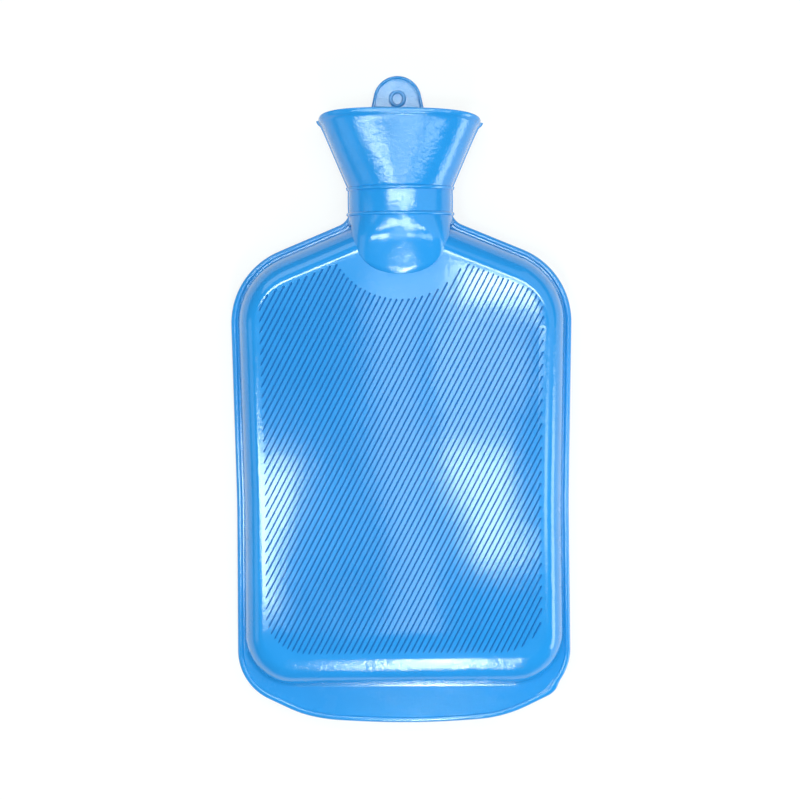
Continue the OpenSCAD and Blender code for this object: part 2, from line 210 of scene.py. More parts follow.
skirt_corner = (BOTTOM_W / 2 + FLANGE_W, 0.0)
skirt_low = (0.0, -SKIRT_H - SKIRT_LOW_R * (1 / math.cos(SKIRT_SAG) - 1))
flange_shoulder = inset(BAG.pts, np.full(7, -FLANGE_W))[2]
flange_right = [tuple(meet(skirt_low, SKIRT_SAG, skirt_corner, math.pi + SKIRT_ANGLE)), skirt_corner,
                (WAIST_W / 2 + FLANGE_W, WAIST_Y), tuple(flange_shoulder),
                (NECK_W / 2, SEAM_MEETS_NECK_Y), (NECK_W / 2, UPPER_RING_Y)]
right_radii = [SKIRT_BEND_R, SKIRT_R, SIDE_R, SHOULDER_R + FLANGE_W, NECK_FILLET_R, 5.0]
FLANGE = Outline([skirt_low] + flange_right + mirrored(flange_right),
                 [SKIRT_LOW_R] + palindrome(right_radii),
                 [24] + palindrome([14, 26, 6, 22, 12, 4]),
                 [6, 10, 60, 80, 40, 10, 10, 10, 40, 80, 60, 10, 6])


def field_dent(x, y):
    """How far the soft face dips below flat, in mm."""
    wave = noise.noise(Vector((x / WAVE_W, y / WAVE_L, WAVE_SEED)))
    depth = WAVE_DEPTH * (0.5 + 0.5 * wave)
    depth += LOW_DROP * max(0.0, 1 - y / LOW_REACH) ** 2
    for (mid_x, mid_y), (across, along), turn, deep in DENTS:
        c, s = math.cos(math.radians(turn)), math.sin(math.radians(turn))
        dx, dy = x - mid_x, y - mid_y
        u, v = (dx * c + dy * s) / across, (dy * c - dx * s) / along
        depth += deep * math.exp(-u * u - v * v)
    return depth


def mesh_from_rings(rings, looped=False):
    """Vertices and quads of a skin over rings with the same number of points."""
    count, size = len(rings), len(rings[0])
    verts = np.vstack(rings)
    last = count if looped else count - 1
    a = np.arange(last)[:, None] * size + np.arange(size)[None, :]
    b = ((np.arange(last) + 1) % count)[:, None] * size + np.arange(size)[None, :]
    quads = np.stack([a, np.roll(a, -1, 1), np.roll(b, -1, 1), b], -1).reshape(-1, 4)
    return verts, [tuple(q) for q in quads.tolist()]


def with_z(ring, z):
    return np.column_stack([ring, np.broadcast_to(z, len(ring))])


def joined(parts):
    """One list of vertices and faces from several closed skins."""
    verts, faces, base = [], [], 0
    for v, f in parts:
        verts.append(v)
        faces += [tuple(i + base for i in face) for face in f]
        base += len(v)
    return np.vstack(verts), faces


def to_row(verts):
    """From millimetres with y at the bag's bottom edge to metres in the row's frame."""
    return (verts - np.array([0, MIDDLE_Y, 0])) * MM


def lean_up(verts):
    """From the neck's own straight frame to the bag's frame."""
    c, s = math.cos(LEAN), math.sin(LEAN)
    y, z = verts[:, 1] - PAD_END_Y, verts[:, 2]
    return np.column_stack([verts[:, 0], PAD_END_Y + y * c - z * s, NECK_D / 2 + y * s + z * c])


def spine_point(ring, low, high):
    """Where each ring point runs to on the face's middle line."""
    return np.column_stack([np.zeros(len(ring)), np.clip(ring[:, 1], low, high)])


def bag_rings(shrink, face_steps, edge_steps):
    """Rings from the back's middle line over the seam to the front face's middle line."""
    half = FACE_Z - SEAM_Z - shrink
    front = []
    for t in np.linspace(0, math.pi / 2, edge_steps + 1):
        d = shrink + (1 - math.cos(t)) * (BAG_RUNS - shrink / 2)
        front.append(with_z(BAG.ring(d), SEAM_Z + half * math.sin(t)))
    flat = front[-1][:, :2]
    spine = spine_point(flat, MID_LINE_LOW_Y, MID_LINE_TOP_Y)
    for s in np.linspace(0, 1, face_steps + 1)[1:]:
        front.append(with_z(flat * (1 - s) + spine * s, FACE_Z - shrink))
    for i, ring in enumerate(front[edge_steps // 2:]):
        fade = min(1.0, i / (edge_steps / 2))
        ring[:, 2] -= [fade * field_dent(x, y) for x, y, _ in ring]
    back = [ring * (1, 1, -1) + (0, 0, BAG_T) for ring in front[1:]]
    return list(reversed(back)) + front


def bag_skin():
    return mesh_from_rings(bag_rings(0.0, 22, 18))


def bag_cavity():
    verts, faces = mesh_from_rings(bag_rings(WALL, 12, 12))
    return verts, [tuple(reversed(f)) for f in faces]


def nearest_on(ring, points):
    """The nearest point of a closed polyline for each of the points."""
    a, b = ring, np.roll(ring, -1, 0)
    ab = b - a
    share = np.einsum("nmk,mk->nm", points[:, None] - a[None], ab) / (ab ** 2).sum(1)
    foot = a[None] + np.clip(share, 0, 1)[..., None] * ab[None]
    best = np.linalg.norm(foot - points[:, None], axis=2).argmin(1)
    return foot[np.arange(len(points)), best]


def flange_ring(d):
    """The flange's outline, whose soft skirt lies a little to the right, as the photo shows."""
    ring = FLANGE.ring(d)
    x, y = ring.T.copy()
    low = np.clip((2 - y) / 10, 0, 1)
    right_of_left_corner = np.clip((x + 60) / 30, 0, 1)
    ring[:, 0] += SKIRT_SHIFT * low * low * (3 - 2 * low) * right_of_left_corner
    return ring


def flange_skin():
    """The flat web, thicker at the bag's foot, with a round bead along its outer edge."""
    bead, web = BEAD_D / 2, FLANGE_T / 2
    outer = flange_ring(BEAD_D)
    foot = nearest_on(BAG.ring(0.0), outer)
    inner = nearest_on(BAG.ring(FOOT_TUCK), foot)
    width = np.linalg.norm(outer - foot, axis=1)[:, None]
    ramp = np.minimum(FOOT_RAMP, width * 0.8)
    outwards = (outer - foot) / np.maximum(width, 0.01)
    rise = FOOT_RISE * ramp[:, 0]
    top = [with_z(inner, web + rise)]
    for share in np.linspace(0, 1, 6):
        top.append(with_z(foot + outwards * ramp * share, web + rise * (1 - share) ** 2))
    top.append(with_z(outer, web))
    rim = [with_z(flange_ring(bead - bead * math.cos(t)), bead * math.sin(t))
           for t in np.radians(np.arange(140, -141, -20))]
    under = [row * (1, 1, -1) for row in reversed(top)]
    stations = np.stack(top + rim + under, 1) + (0, 0, SEAM_Z)
    return capped(list(stations_beside_neck(stations, outer, len(top) - 1)))


def stations_beside_neck(stations, outer, outer_row):
    """The flange's cross sections from one side of the neck round the bag to the other."""
    x, y = outer.T
    beside = (x < 2 - NECK_W / 2 + BEAD_D) & (y > UPPER_RING_Y - BEAD_D - 0.1)
    stations = np.roll(stations, -int(np.argmax(beside)), 0)
    x, y = stations[:, outer_row, 0], stations[:, outer_row, 1]
    inside_neck = (np.abs(x) < NECK_W / 2 - BEAD_D - 1) & (y > SEAM_MEETS_NECK_Y)
    return stations[~inside_neck]


def capped(rings):
    """A skin over rings, closed with a flat cap at each end."""
    verts, faces = mesh_from_rings(rings)
    size = len(rings[0])
    ends = [tuple(range(size)), tuple(range(len(verts) - 1, len(verts) - size - 1, -1))]
    return verts, faces + ends


def rib_spans():
    """Start and end of each rib on the face, along the ribs' direction."""
    margins = BAG_RUNS + RIB_MARGIN
    radii = [FIELD_BOTTOM_R, SIDE_R, FIELD_SHOULDER_R, FIELD_APEX_R, FIELD_SHOULDER_R, SIDE_R, FIELD_BOTTOM_R]
    edge = Outline(BAG.pts, radii, BAG.arc_n, BAG.edge_n).ring(margins)
    along = np.array([math.cos(RIB_ANGLE), math.sin(RIB_ANGLE)])
    across = left_of(along)
    middle = np.array([0.0, BAG_L / 2])
    hole = np.array([0.0, PAD_Y]) - middle
    hole_r = PAD_R + PAD_BORDER
    u, v = (edge - middle) @ along, (edge - middle) @ across
    spans = []
    # More levels than the face is wide: those that miss it are left out
    for k in range(-50, 51):
        level = k * RIB_PITCH
        hits = []
        for i in range(len(u)):
            v1, v2 = v[i - 1], v[i]
            if (v1 - level) * (v2 - level) < 0:
                hits.append(u[i - 1] + (u[i] - u[i - 1]) * (level - v1) / (v2 - v1))
        if len(hits) < 2:
            continue
        low, high = min(hits), max(hits)
        gap = hole_r ** 2 - (hole @ across - level) ** 2
        pieces = [(low, high)]
        if gap > 0:
            near, far = hole @ along - math.sqrt(gap), hole @ along + math.sqrt(gap)
            pieces = [(low, min(high, near)), (max(low, far), high)]
        for a, b in pieces:
            if b - a > SHORTEST_RIB:
                base = middle + across * level
                spans.append((base + along * a, base + along * b))
    return spans, along, across


# The rounded cross section of a rib, and how much painted shade darkens each of its points: most at the foot
# and on the points tucked under the face, least on the crest
RIB_FORM = [(1.0, 0.0), (0.8, 0.5), (0.4, 0.93), (0.0, 1.0), (-0.4, 0.93), (-0.8, 0.5), (-1.0, 0.0)]
RIB_PAINTED_SHADE = [1.0, 0.9, 0.4, 0.2, 0.4, 0.9, 1.0, 1.0, 1.0]


def rib_stations(length):
    """Distances along a rib, closer together at its two ends."""
    middle = np.linspace(6.0, length - 3.0, max(2, int(length / 5)))
    upper_end = length - np.array([2.0, 1.5, 1.1, 0.7, 0.35, 0.1, 0.0])
    stations = np.concatenate([[0.0, 0.3, 0.8, 1.6, 3.0], middle, upper_end])
    return np.unique(np.clip(stations, 0, length))


def rib_skin(start, end, along, across):
    """One raised rib: a narrow ridge, with a round dot at its upper end and a faded lower end."""
    length = float(np.linalg.norm(end - start))
    rings = []
    for s in rib_stations(length):
        low_end = min(1.0, math.sqrt(max(s, 0.01) / RIB_FADE_L))
        dot = math.exp(-((length - DOT_R - s) / DOT_SOFTNESS) ** 2)
        top_end = math.sqrt(max(0.01, 1 - max(0.0, (s - length + DOT_R) / DOT_R) ** 2))
        width = RIB_W / 2 * (1 + DOT_WIDER * dot) * top_end * low_end
        high = RIB_H * (1 - DOT_HIGHER + DOT_HIGHER * dot) * top_end * low_end
        base = start + along * s
        side = across * width
        foot = FACE_Z - field_dent(base[0], base[1])
        ring = [np.append(base + side * place, foot + high * up) for place, up in RIB_FORM]
        ring += [np.append(base - side, foot - RIB_TUCK), np.append(base + side, foot - RIB_TUCK)]
        rings.append(np.array(ring))
    return capped(rings)


def all_ribs():
    spans, along, across = rib_spans()
    front = joined([rib_skin(a, b, along, across) for a, b in spans])
    back = front[0] * (1, 1, -1) + (0, 0, BAG_T), [tuple(reversed(f)) for f in front[1]]
    return joined([front, back])


def neck_angles():
    """Steps round the neck, closer together at the parting line on each side."""
    coarse = np.linspace(8, 172, 42)
    fine = np.array([-6, -4.5, -3.2, -2.2, -1.4, -0.7, 0, 0.7, 1.4, 2.2, 3.2, 4.5, 6])
    degrees = np.concatenate([fine, coarse, fine + 180, coarse + 180])
    return np.radians(degrees)


def funnel_share(y):
    return max(0.0, y - UPPER_RING_Y) / FUNNEL_H


def neck_ring(y, grow, parting, deeper=0.0):
    """An oval ring in the neck's frame, grown by a distance, with the parting line's thin ridge."""
    share = funnel_share(y)
    full = 2 + (MOUTH_FULL - 2) * share
    a = NECK_W / 2 + (FUNNEL_W - NECK_W) / 2 * share + grow
    c = NECK_D / 2 + (FUNNEL_D - NECK_D) / 2 * share + grow + deeper
    t = neck_angles()
    across = np.sign(np.cos(t)) * np.abs(np.cos(t)) ** (2 / full)
    up = np.sign(np.sin(t)) * np.abs(np.sin(t)) ** (2 / full)
    ridge = parting * np.exp(-(c * up / PARTING_W) ** 2)
    bow = share ** 2 * (MOUTH_BOW * np.abs(up) + MOUTH_SKEW * a * across)
    return np.column_stack([a * across + np.sign(across) * ridge, y + bow, -c * up])


def round_ring(y, r):
    t = neck_angles()
    return np.column_stack([r * np.cos(t), np.full(len(t), y), -r * np.sin(t)])


def neck_level(y):
    """Extra depth that keeps the neck between its rings level with the table."""
    below_top = max(0.0, NECK_HALF + NECK_Y - max(y, LOWER_RING_Y))
    return math.sin(LEAN) * below_top - BAND_SINK * (y < UPPER_RING_Y - 1)


def neck_band(y):
    """Rows of height and growth over one rounded ring of the neck."""
    steps = np.linspace(-1, 1, 9)
    return [(y + RING_W / 2 * s, RING_H * math.sqrt(1 - s * s)) for s in steps]


def lip_rows():
    """Heights and growths over the rounded lip, whose last row turns inwards."""
    middle = MOUTH_Y - LIP_W / 2
    turns = np.radians(np.arange(-70, 71, 20))
    rows = [(middle + LIP_W / 2 * math.sin(t), LIP_H * math.cos(t) ** 0.7) for t in turns]
    return [(MOUTH_Y - LIP_W - 0.4, 0.1)] + rows + [(MOUTH_Y, -0.3)]


def neck_skin():
    """Neck and funnel in one closed skin: up the outside, over the lip, down to the socket."""
    rows = [(LOWER_RING_Y - 6, 0.0)] + neck_band(LOWER_RING_Y)
    rows += [(NECK_Y + NECK_HALF * u, BAND_BOW * (1 - u * u)) for u in np.linspace(-0.9, 0.9, 8)]
    rows += neck_band(UPPER_RING_Y)
    rows += [(y, 0.0) for y in np.linspace(UPPER_RING_Y + 2, MOUTH_Y - LIP_W - 1.2, 14)]
    rows += lip_rows()
    rings = []
    for y, grow in rows:
        parting = PARTING_H * (1 + PARTING_FLARE * funnel_share(y) ** 12)
        rings.append(neck_ring(y, grow, parting, neck_level(y)))
    inner = [(MOUTH_Y + 0.1, -1.4), (MOUTH_Y - 0.4, -FUNNEL_WALL + 0.3)]
    inner += [(y, -FUNNEL_WALL) for y in np.linspace(MOUTH_Y - 2, FLOOR_Y + 3, 12)]
    inner += [(FLOOR_Y + 1.2, -FUNNEL_WALL - 0.6), (FLOOR_Y + 0.3, -FUNNEL_WALL - 1.8)]
    rings += [neck_ring(y, grow, 0.0) for y, grow in inner]
    hole_r, socket_r, low_y = SCREW_D / 2 + 0.3, SOCKET_D / 2, FLOOR_Y - SOCKET_L
    bore = [(FLOOR_Y, socket_r + SOCKET_RIM), (FLOOR_Y, socket_r), (low_y, socket_r), (low_y, hole_r),
            (PAD_Y - 3, hole_r)]
    rings += [round_ring(y, r) for y, r in bore] + [neck_ring(PAD_Y - 3, -9.0, 0.0)]
    verts, faces = mesh_from_rings(rings, looped=True)
    return lean_up(verts), faces


def pad_drop(below):
    """How far the front pad dips towards the bag at a distance below its top."""
    bend = np.clip(below - PAD_LEVEL_L, 0, PAD_BEND_L)
    slope = np.clip(below - PAD_LEVEL_L - PAD_BEND_L, 0, None)
    return PAD_SLOPE * (bend ** 2 / (2 * PAD_BEND_L) + slope)


def pad_crown(x, y, z):
    """Heights of the pad's points, held under an oval that is fuller at the pad's end."""
    low = 1 - np.clip((y - PAD_END_Y) / PAD_L, 0, 1)
    full = 2.0 + PAD_FULLER * low
    side = np.abs(x) / (NECK_W / 2 - PAD_SIDE_GAP)
    oval = NECK_D / 2 * np.clip(1 - side ** full, 0, 1) ** (1 / full)
    return np.minimum(z, oval) - PAD_BLEND_H * np.exp(-((z - oval) / PAD_BLEND_W) ** 2)


def front_swell(x, y):
    """How much higher the front pad stands than the plain crown."""
    low = 1 - np.clip((y - PAD_END_Y) / PAD_L, 0, 1)
    below = LOWER_RING_Y - y
    return neck_level(LOWER_RING_Y) + PAD_RISE * below - pad_drop(below + PAD_FALL * x * x * low)


def pad_edge(pad, depth):
    """The pad's outline moved inwards by a depth, apart from its top edge at the neck."""
    d = depth * np.array([1, 0, 1, 1])
    radii = [pad.radii[0] - depth, pad.radii[1], pad.radii[2], pad.radii[3] - depth]
    return rounded(inset(pad.pts, d), radii, pad.arc_n, pad.edge_n)


def pad_rings(run, drop, front):
    """Rings from the pad's edge to its middle line, rounded over a run and a drop."""
    top_y, half = LOWER_RING_Y, NECK_D / 2
    soft_r = PAD_R - HAIR
    pad = Outline([(PAD_R, PAD_END_Y), (PAD_R, top_y), (-PAD_R, top_y), (-PAD_R, PAD_END_Y)],
                  [soft_r, HAIR, HAIR, soft_r], [28, 2, 2, 28], [8, 16, 8, 1])

    def crowned(ring, z):
        x, y = ring.T
        z = pad_crown(x, y, z)
        if front:
            z += front_swell(x, y)
        return with_z(ring, z)

    rings = []
    for t in np.linspace(0, math.pi / 2, 14):
        ring = pad_edge(pad, run * (1 - math.cos(t)))
        rings.append(crowned(ring, half - drop + drop * math.sin(t)))
    flat = rings[-1][:, :2]
    spine = spine_point(flat, PAD_Y, top_y)
    for s in np.linspace(0, 1, 17)[1:]:
        rings.append(crowned(flat * (1 - s) + spine * s, half))
    return rings


def pad_skin():
    """The round pad below the neck on both faces, crowned like the neck."""
    front = pad_rings(FRONT_PAD_RUN, FRONT_PAD_DROP, True)
    back = [ring * (1, 1, -1) for ring in pad_rings(PAD_RUN, PAD_DROP, False)]
    verts, faces = mesh_from_rings(list(reversed(back)) + front)
    return lean_up(verts), faces


def tab_skin():
    """The hanging tab: a thin plate with a thicker rounded edge, round on top and wider below."""
    base_y = MOUTH_Y - LIP_W
    top_half = TAB_W / 2 * math.tan((math.pi / 2 - TAB_FLARE) / 2)
    root = top_half + (TAB_TOP_Y - base_y) * math.tan(TAB_FLARE)
    tab = Outline([(root, base_y), (top_half, TAB_TOP_Y), (-top_half, TAB_TOP_Y), (-root, base_y)],
                  [TAB_EDGE_W, TAB_W / 2 - HAIR, TAB_W / 2 - HAIR, TAB_EDGE_W],
                  [3, 30, 30, 3], [24, 1, 24, 30])
    bead, web, width = TAB_EDGE_T / 2, TAB_T / 2, TAB_EDGE_W / 2
    front = [with_z(tab.ring(width - width * math.cos(t)), bead * math.sin(t))
             for t in np.radians(np.arange(0, 141, 20))]
    front += [with_z(tab.ring(d), z) for d, z in [(TAB_EDGE_W, web + 0.1), (TAB_EDGE_W + 0.4, web)]]
    flat = front[-1][:, :2]
    eye = np.array([0.0, TAB_TOP_Y - EYE_DROP])
    for s in np.linspace(0, 1, 9)[1:]:
        front.append(with_z(flat * (1 - s) + eye * s, web))
    back = [ring * (1, 1, -1) for ring in front[1:]]
    verts, faces = mesh_from_rings(list(reversed(back)) + front)
    return lean_up(verts + (TAB_SHIFT, 0, bead - FUNNEL_D / 2)), faces


def eye_skin():
    """The raised ring on the tab, a little taller than wide inside."""
    eye_y = TAB_TOP_Y - EYE_DROP
    t = np.radians(np.arange(0, 360, 7.5))
    rings = []
    for turn in np.radians(np.arange(0, 360, 30)):
        share = 0.5 - 0.5 * math.cos(turn)
        rx = EYE_R * (1 - share) + EYE_HOLE_W * share
        ry = EYE_R * (1 - share) + EYE_HOLE_L * share
        z = TAB_T / 2 + EYE_H * math.sin(turn)
        rings.append(np.column_stack([rx * np.cos(t), eye_y + ry * np.sin(t), np.full(len(t), z)]))
    verts, faces = mesh_from_rings(rings, looped=True)
    return lean_up(verts + (TAB_SHIFT, 0, TAB_EDGE_T / 2 - FUNNEL_D / 2)), faces


def add_mark(mesh, name, values):
    """One number on each vertex, which the material reads by its name."""
    mark = mesh.attributes.new(name, "FLOAT", "POINT")
    mark.data.foreach_set("value", np.asarray(values, np.float32))


def make_piece(name, skin, materials):
    """A mesh object in the row's frame with smooth shading and sharp creases."""
    verts, faces, *rest = skin
    mesh = bpy.data.meshes.new(name)
    mesh.from_pydata(to_row(verts).tolist(), [], faces)
    obj = bpy.data.objects.new(name, mesh)
    bpy.context.scene.collection.objects.link(obj)
    for material in materials:
        mesh.materials.append(material)
    if rest:
        material_of_face, marks = rest
        mesh.polygons.foreach_set("material_index", material_of_face)
        for mark, values in marks.items():
            add_mark(mesh, mark, values)
    merge_doubles(mesh)
    mesh.shade_smooth()
    mesh.set_sharp_from_angle(angle=SHARP_ANGLE)
    return obj


def merge_doubles(mesh):
    """Closes the skins where their rings meet in one line."""
    bm = bmesh.new()
    bm.from_mesh(mesh)
    bmesh.ops.remove_doubles(bm, verts=bm.verts, dist=0.005 * MM)
    bmesh.ops.dissolve_degenerate(bm, edges=bm.edges, dist=0.002 * MM)
    bmesh.ops.recalc_face_normals(bm, faces=bm.faces)
    bm.to_mesh(mesh)
    bm.free()


# Angles round a turned form
TURN = np.linspace(0, 2 * math.pi, 72, endpoint=False)


def circle_ring(y, r):
    """A ring with one radius, or with one for each of its points."""
    return np.column_stack([r * np.cos(TURN), np.full(len(TURN), y), -r * np.sin(TURN)])


def turned(profile):
    """Rings of a turned form from its heights and radii."""
    return [circle_ring(y, r) for y, r in profile]


def threaded_rings(y1, y2, root_r, crest_r):
    """Rings along the neck whose radius follows a round screw thread, faded at both ends."""
    step, fade_l = 0.42, 1.5
    rings = []
    for y in np.arange(y1, y2 + 1e-6, step):
        phase = (y / THREAD_PITCH - TURN / (2 * math.pi)) % 1.0
        bump = np.clip(1.25 * np.cos((phase - 0.5) * 2 * math.pi), -0.6, 1.0) * 0.625 + 0.375
        fade = min(1.0, (y - y1) / fade_l, (y2 - y) / fade_l)
        rings.append(circle_ring(y, root_r + (crest_r - root_r) * bump * max(fade, 0.0)))
    return rings


def stopper_parts():
    """Screw, collar and handle of the stopper."""
    collar_y = FLOOR_Y + WASHER_T
    crest, root = SCREW_D / 2 - 0.05, SCREW_D / 2 - THREAD_H
    low, top, r = collar_y - SCREW_L, collar_y + COLLAR_T, COLLAR_D / 2
    rings = turned([(low + 0.6, 0.01), (low + 0.2, root - 2.4), (low, root - 2.0), (low, root - 0.8),
                    (low + 0.8, root - 0.1)])
    rings += threaded_rings(low + 1.2, collar_y - 0.4, root, crest)
    rings += turned([(collar_y, root + 0.3), (collar_y, r - 0.5), (collar_y + 0.15, r - 0.15),
                     (collar_y + 0.5, r), (top - 0.6, r), (top - 0.15, r - 0.2), (top, r - 0.7),
                     (top, r * 0.5), (top, 0.01)])
    screw = mesh_from_rings(rings)
    return [(lean_up(screw[0]), screw[1]), handle_skin(top)]


def handle_skin(base_y):
    """The flat handle, with a rounded edge and shallow hollows for the fingers."""
    half, top_y = HANDLE_W / 2, base_y + HANDLE_L
    edge = Outline([(half, base_y - 1.5), (half, top_y), (-half, top_y), (-half, base_y - 1.5)],
                   [1.0, HANDLE_W * 0.3, HANDLE_W * 0.3, 1.0], [3, 16, 16, 3], [12, 10, 12, 12])
    soft, thick, hollow = HANDLE_EDGE_R, HANDLE_T / 2, HANDLE_T / 2 - HANDLE_HOLLOW
    front = [with_z(edge.ring(soft * (1 - math.cos(t))), thick - soft + soft * math.sin(t))
             for t in np.linspace(0, math.pi / 2, 6)]
    rim = [(2.2, thick), (2.7, thick - 0.35), (3.3, thick - 0.75), (3.9, hollow)]
    front += [with_z(edge.ring(np.array([d, d, d, 0.9])), z) for d, z in rim]
    flat = front[-1][:, :2]
    spine = spine_point(flat, base_y + 5, top_y - 9)
    for s in np.linspace(0, 1, 5)[1:]:
        front.append(with_z(flat * (1 - s) + spine * s, hollow))
    back = [ring * (1, 1, -1) for ring in front]
    verts, faces = mesh_from_rings(list(reversed(back)) + front)
    return lean_up(verts), faces


def socket_skin():
    """The brass socket with its inner thread."""
    crest, root = SCREW_D / 2 - THREAD_H + SOCKET_PLAY, SCREW_D / 2 + SOCKET_PLAY
    low, top, outer = FLOOR_Y - SOCKET_L, FLOOR_Y, SOCKET_D / 2
    rings = turned([(low, root), (low, outer), (top - 0.4, outer), (top, outer - 0.4), (top, root + 0.5),
                    (top - 0.4, root + 0.1)])
    rings += list(reversed(threaded_rings(low + 0.4, top - 0.6, root, crest)))
    verts, faces = mesh_from_rings(rings, looped=True)
    return lean_up(verts), faces


def washer_skin():
    """The sealing washer with soft edges, squeezed a little between collar and socket."""
    inner, outer = SCREW_D / 2 + 0.1, COLLAR_D / 2 - 0.4
    mid_y, half = FLOOR_Y + WASHER_T / 2, WASHER_T / 2
    mid_r, reach = (inner + outer) / 2, (outer - inner) / 2
    squareness = 0.45
    profile = []
    for t in np.radians(np.arange(0, 360, 20)):
        dr = reach * np.sign(math.cos(t)) * abs(math.cos(t)) ** squareness
        dy = half * np.sign(math.sin(t)) * abs(math.sin(t)) ** squareness
        profile.append((mid_y + dy, mid_r + dr))
    verts, faces = mesh_from_rings(turned(profile), looped=True)
    return lean_up(verts), faces


class Nodes:
    """Short calls for building a material's node tree."""

    def __init__(self, name):
        self.material = bpy.data.materials.new(name)
        self.material.use_nodes = True
        self.tree = self.material.node_tree
        self.shader = self.tree.nodes["Principled BSDF"]

    def add(self, kind, **values):
        node = self.tree.nodes.new(kind)
        for key, value in values.items():
            if hasattr(node, key):
                setattr(node, key, value)
            else:
                node.inputs[key.replace("_", " ")].default_value = value
        return node

    def link(self, source, target):
        self.tree.links.new(source, target)

    def coords(self):
        return self.add("ShaderNodeTexCoord").outputs["Object"]

    def noise(self, scale, detail, roughness=0.55, stretch=(1, 1, 1)):
        mapping = self.add("ShaderNodeMapping")
        mapping.inputs["Scale"].default_value = stretch
        self.link(self.coords(), mapping.inputs["Vector"])
        node = self.add("ShaderNodeTexNoise", Scale=scale, Detail=detail, Roughness=roughness)
        self.link(mapping.outputs["Vector"], node.inputs["Vector"])
        return node.outputs["Fac"]

    def ramp(self, source, stops):
        """A colour between two stops, each given by its place and its colour."""
        node = self.add("ShaderNodeValToRGB")
        for stop, (place, colour) in zip(node.color_ramp.elements, stops):
            stop.position = place
            stop.color = (*colour, 1)
        self.link(source, node.inputs["Fac"])
        return node.outputs["Color"]

    def calc(self, operation, first, second):
        """A product or the larger of two, each of them a socket or a plain number."""
        node = self.add("ShaderNodeMath", operation=operation)
        for slot, value in zip(node.inputs, (first, second)):
            if isinstance(value, float):
                slot.default_value = value
            else:
                self.link(value, slot)
        return node.outputs["Value"]

    def bump(self, height, distance, strength, before=None):
        node = self.add("ShaderNodeBump", Distance=distance, Strength=strength)
        self.link(height, node.inputs["Height"])
        if before is not None:
            self.link(before, node.inputs["Normal"])
        return node.outputs["Normal"]


def grey(v):
    return (v, v, v)


def rubber_material(name, gloss_roughness):
    """Sky-blue moulded rubber: cloudy colour, and a leathery grain where the grain mark says so."""
    n = Nodes(name)
    clouds = n.noise(16.0, 4.0)
    colour = n.ramp(clouds, [(0.3, (0.008, 0.205, 0.57)), (0.7, (0.011, 0.235, 0.64))])
    n.link(colour, n.shader.inputs["Base Color"])
    rough = n.ramp(n.noise(55.0, 6.0, 0.65), [(0.3, grey(0.22)), (0.7, grey(0.30))])
    n.link(rough, n.shader.inputs["Roughness"])
    n.shader.inputs["Specular IOR Level"].default_value = 0.07
    n.shader.inputs["Coat Weight"].default_value = 1.0
    n.shader.inputs["Coat Roughness"].default_value = gloss_roughness
    n.shader.inputs["Coat IOR"].default_value = 1.6
    grain = n.add("ShaderNodeAttribute", attribute_name="grain").outputs["Fac"]
    fine = n.bump(n.calc("MULTIPLY", n.noise(650.0, 3.0), grain), 0.00025, 0.6)
    leather = n.bump(n.calc("MULTIPLY", n.noise(140.0, 5.0, 0.6), grain), 0.0006, 0.6, fine)
    n.link(leather, n.shader.inputs["Normal"])
    n.link(leather, n.shader.inputs["Coat Normal"])
    return n.material


def rib_material():
    """The ribs' steep flanks: the same rubber, duller, and darkened by painted shade, darker than the bag all
    over and darkest towards the foot.
    """
    n = Nodes("rib_rubber_painted_shade")
    crease = n.add("ShaderNodeAttribute", attribute_name="crease").outputs["Fac"]
    # Painted shade: the rib's blue gets darker from crest to foot, standing in for the shade at the rib's
    # foot
    n.link(n.ramp(crease, [(0.0, (0.006, 0.16, 0.50)), (1.0, (0.001, 0.080, 0.31))]),
           n.shader.inputs["Base Color"])
    n.shader.inputs["Roughness"].default_value = 0.45
    n.shader.inputs["Specular IOR Level"].default_value = 0.12
    n.link(n.bump(n.noise(650.0, 3.0), 0.00004, 0.5), n.shader.inputs["Normal"])
    return n.material


def brass_material():
    n = Nodes("turned_brass")
    n.link(n.ramp(n.noise(120.0, 4.0), [(0.3, (0.55, 0.35, 0.10)), (0.7, (0.78, 0.56, 0.22))]),
           n.shader.inputs["Base Color"])
    n.shader.inputs["Metallic"].default_value = 1.0
    n.link(n.ramp(n.noise(300.0, 4.0), [(0.3, grey(0.25)), (0.7, grey(0.42))]), n.shader.inputs["Roughness"])
    n.link(n.bump(n.noise(250.0, 3.0, 0.5, (1, 12, 1)), 0.00005, 0.5), n.shader.inputs["Normal"])
    return n.material


def washer_material():
    n = Nodes("black_rubber")
    n.link(n.ramp(n.noise(150.0, 4.0), [(0.3, grey(0.018)), (0.7, grey(0.035))]),
           n.shader.inputs["Base Color"])
    n.shader.inputs["Roughness"].default_value = 0.6
    n.link(n.bump(n.noise(700.0, 3.0), 0.00006, 0.5), n.shader.inputs["Normal"])
    return n.material


def stopper_material():
    n = Nodes("stopper_plastic")
    n.link(n.ramp(n.noise(60.0, 3.0), [(0.3, (0.020, 0.10, 0.36)), (0.7, (0.028, 0.125, 0.42))]),
           n.shader.inputs["Base Color"])
    n.link(n.ramp(n.noise(200.0, 5.0), [(0.3, grey(0.28)), (0.7, grey(0.42))]), n.shader.inputs["Roughness"])
    n.link(n.bump(n.noise(800.0, 3.0), 0.00004, 0.5), n.shader.inputs["Normal"])
    return n.material


# How much of the floor's white comes from itself, the lamps' colour, and the camera's height in metres
FLOOR_WHITE = 0.77
LAMP_TINT = (0.86, 1.0, 0.93)
CAMERA_H = 1.0


